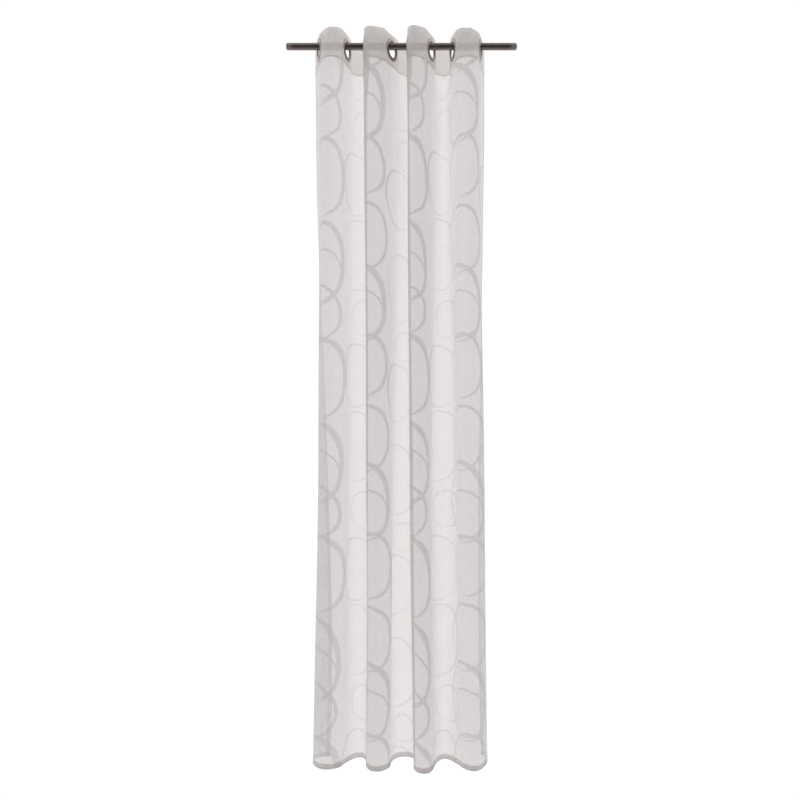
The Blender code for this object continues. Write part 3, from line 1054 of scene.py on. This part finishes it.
class CURTAIN_OT_rod(Operator):
    """Adds the rod's tube and its two rounded end caps"""

    bl_idname = "curtain.rod"
    bl_label = "Rod"

    def execute(self, context):
        look = context.scene.curtain_metal
        material = metal_material("rod_nickel", look.rod_colour, 0.26, (24.0, 1500.0, 1500.0), 0.12)
        steps, wall, ease = 96, 0.0010, 0.0003
        half = ROD_HALF_LENGTH
        bore = ROD_RADIUS - wall
        outer = [(ROD_RADIUS, x) for x in np.linspace(ease - half, half - ease, 41)]
        profile = outer + [(ROD_RADIUS - ease, half), (bore, half), (bore, -half), (ROD_RADIUS - ease, -half)]
        origin, along = np.zeros(3), np.array([1.0, 0, 0])
        side, up = np.array([0, 1.0, 0]), np.array([0, 0, 1.0])
        points = turned_points(profile, steps, origin, along, up, side)
        tube_faces = round_faces(len(profile), steps, True)[:, ::-1]
        new_piece("rod_shell", points.reshape(-1, 3), tube_faces, material, ["rod_tube"])

        seat = half + CLEARANCE
        reach = CAP_END_X - seat
        bulge = np.linspace(math.pi / 2, 0, 14)
        face = look.cap_face_radius
        dome = [(face + (ROD_RADIUS - face) * math.sin(a), reach * math.cos(a)) for a in bulge]
        plug = bore - CLEARANCE
        plug_length = 0.012
        profile = [(plug, -plug_length), (plug, 0.0), (ROD_RADIUS - ease, 0.0)] + dome
        for sign, name, node in ((-1, "rod_cap_left", "end_cap_left"), (1, "rod_cap_right", "end_cap_right")):
            points = turned_points(profile, steps, sign * seat * along, sign * along, up, sign * side)
            faces = round_faces(len(profile), steps, False)[:, ::-1].tolist()
            last = (len(profile) - 1) * steps
            faces.append([last + k for k in range(steps)])
            faces.append([k for k in range(steps)][::-1])
            new_piece(name, points.reshape(-1, 3), faces, material, [node])
        return {"FINISHED"}


class CURTAIN_OT_studio(Operator):
    """Adds the soft light of the surroundings and the camera"""

    bl_idname = "curtain.studio"
    bl_label = "Studio"

    def execute(self, context):
        look = context.scene.curtain_studio
        world = bpy.data.worlds.new("studio_light")
        world.use_nodes = True
        context.scene.world = world
        recipe = Recipe(world.node_tree)
        direction = recipe.node("ShaderNodeTexCoord")
        side, behind, up = recipe.parts(direction)
        light = look.room_light + recipe.math("MAXIMUM", up, 0.0) * look.ceiling_light
        light = light + behind * look.window_light + side * side * look.side_light
        seen = recipe.node("ShaderNodeLightPath")
        strength = light * (1 - seen) + look.backdrop_brightness * seen
        sky = recipe.node("ShaderNodeBackground", (), {"Color": (1, 1, 1, 1), "Strength": strength})
        recipe.node("ShaderNodeOutputWorld", (), {"Surface": sky})
        context.scene.view_settings.view_transform = "Standard"

        camera_data = bpy.data.cameras.new("studio_camera")
        camera_data.sensor_fit = "HORIZONTAL"
        camera_data.lens = look.camera_lens
        camera_data.shift_y = look.camera_shift
        camera = bpy.data.objects.new("studio_camera", camera_data)
        camera.location = (look.camera_x, -look.camera_distance, look.camera_z)
        camera.rotation_euler = (math.pi / 2, 0.0, 0.0)
        context.scene.collection.objects.link(camera)
        context.scene.camera = camera
        return {"FINISHED"}


class CURTAIN_PT_pieces(Panel):
    """The curtain's pieces and their sizes"""

    bl_idname = "CURTAIN_PT_pieces"
    bl_label = "Curtain"
    bl_space_type = "VIEW_3D"
    bl_region_type = "UI"
    bl_category = "Curtain"

    def draw(self, context):
        layout = self.layout
        for operator in OPERATORS:
            layout.operator(operator.bl_idname)
        for group_name, group in GROUPS.items():
            box = layout.box()
            for name in group.__annotations__:
                box.prop(getattr(context.scene, group_name), name)


OPERATORS = (
    CURTAIN_OT_studio,
    CURTAIN_OT_sheer_panel,
    CURTAIN_OT_heading,
    CURTAIN_OT_stitching,
    CURTAIN_OT_eyelets,
    CURTAIN_OT_rod,
)
GROUPS = {
    "curtain_cloth": CURTAIN_PG_cloth,
    "curtain_metal": CURTAIN_PG_metal,
    "curtain_studio": CURTAIN_PG_studio,
}
CLASSES = (*GROUPS.values(), *OPERATORS, CURTAIN_PT_pieces)


def register():
    for cls in CLASSES:
        bpy.utils.register_class(cls)
    for name, group in GROUPS.items():
        setattr(bpy.types.Scene, name, PointerProperty(type=group))


def unregister():
    for name in GROUPS:
        delattr(bpy.types.Scene, name)
    for cls in reversed(CLASSES):
        bpy.utils.unregister_class(cls)


def main():
    register()
    bpy.ops.curtain.studio()
    bpy.ops.curtain.sheer_panel()
    bpy.ops.curtain.heading()
    bpy.ops.curtain.stitching()
    bpy.ops.curtain.eyelets()
    bpy.ops.curtain.rod()


if __name__ == "__main__":
    main()
